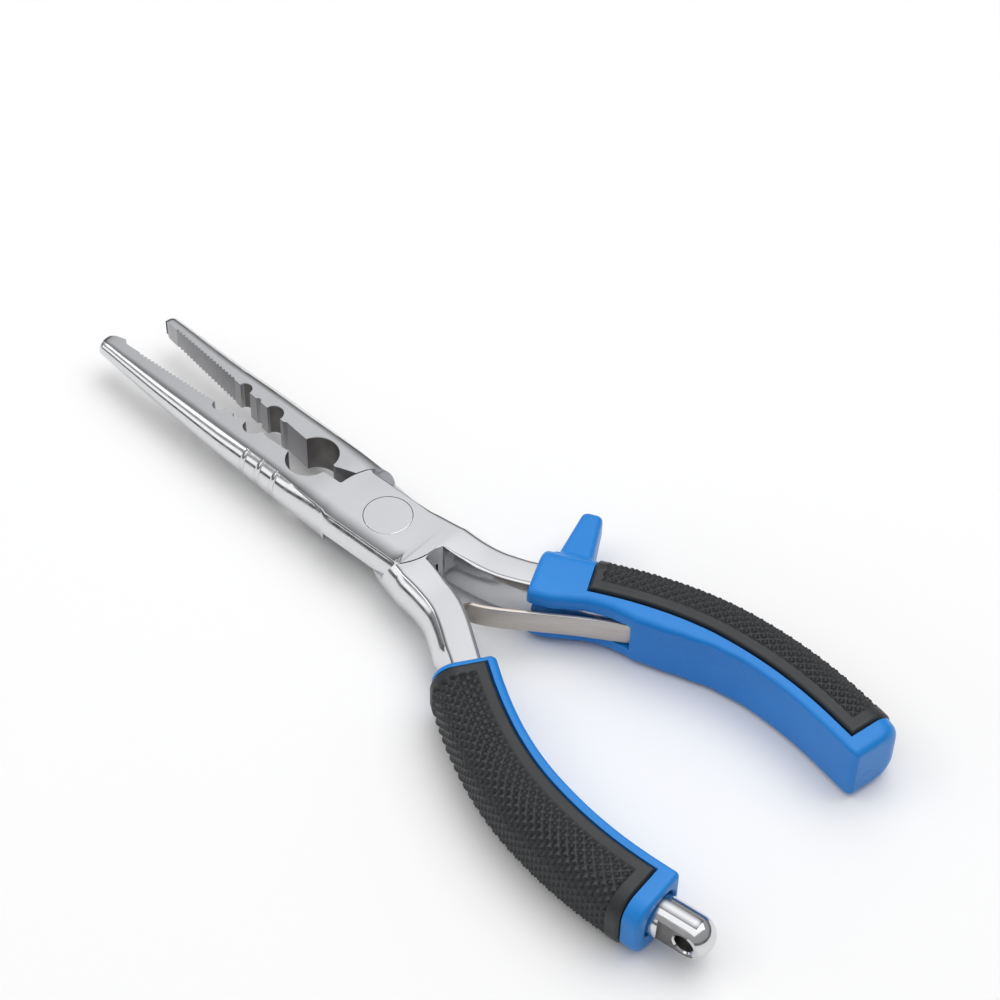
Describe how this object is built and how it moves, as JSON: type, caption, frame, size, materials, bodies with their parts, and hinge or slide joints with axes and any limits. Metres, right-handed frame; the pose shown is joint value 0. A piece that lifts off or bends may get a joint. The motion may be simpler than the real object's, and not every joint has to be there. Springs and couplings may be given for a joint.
{
  "type": "fishing pliers",
  "caption": "Spring-loaded long-nose fishing pliers with a hook-tipped split-ring jaw, sleeved handles with rubber pads, a thumb spike and a lanyard stud.",
  "frame": {"origin": "on the pivot axis, at the underside of the flush rivet", "axes": "+X from the pivot towards the handles, midway between them, so the jaws point along -X; +Y towards the handle with the thumb spike; +Z along the pivot axis, up from the face the pliers lie on"},
  "size_m": [0.212, 0.0797, 0.0164],
  "materials": {
    "lever_steel": "satin flats, polished sides",
    "rivet_steel": "satin",
    "spring_steel": "tempered, matt",
    "grip_plastic": "semi-gloss blue",
    "pad_rubber": "matt black, knurled"
  },
  "bodies": {
    "spike_lever": {"lever_a": "lever_steel", "pivot_rivet": "rivet_steel", "grip_a_sleeve": "grip_plastic", "grip_a_pad": "pad_rubber", "spring_pin": "spring_steel"},
    "stud_lever": {"lever_b": "lever_steel", "grip_b_sleeve": "grip_plastic", "grip_b_pad": "pad_rubber"},
    "spring": {"leaf_spring": "spring_steel"}
  },
  "joints": [
    {"name": "pivot", "type": "hinge", "parent": "spike_lever", "child": "stud_lever", "pos_m": [0, 0, 0.0055], "axis": [0, 0, 1], "range_deg": [-8, 7.8], "stiffness_Nm_per_rad": 0.8},
    {"name": "spring_flex", "type": "hinge", "parent": "spike_lever", "child": "spring", "pos_m": [0.0577, 0.01957, 0.0055], "axis": [0, 0, 1], "range_deg": [-8.4, 8.7]}
  ],
  "couplings": [
    {"joint": "spring_flex", "follows": "pivot", "ratio": -1.07}
  ]
}
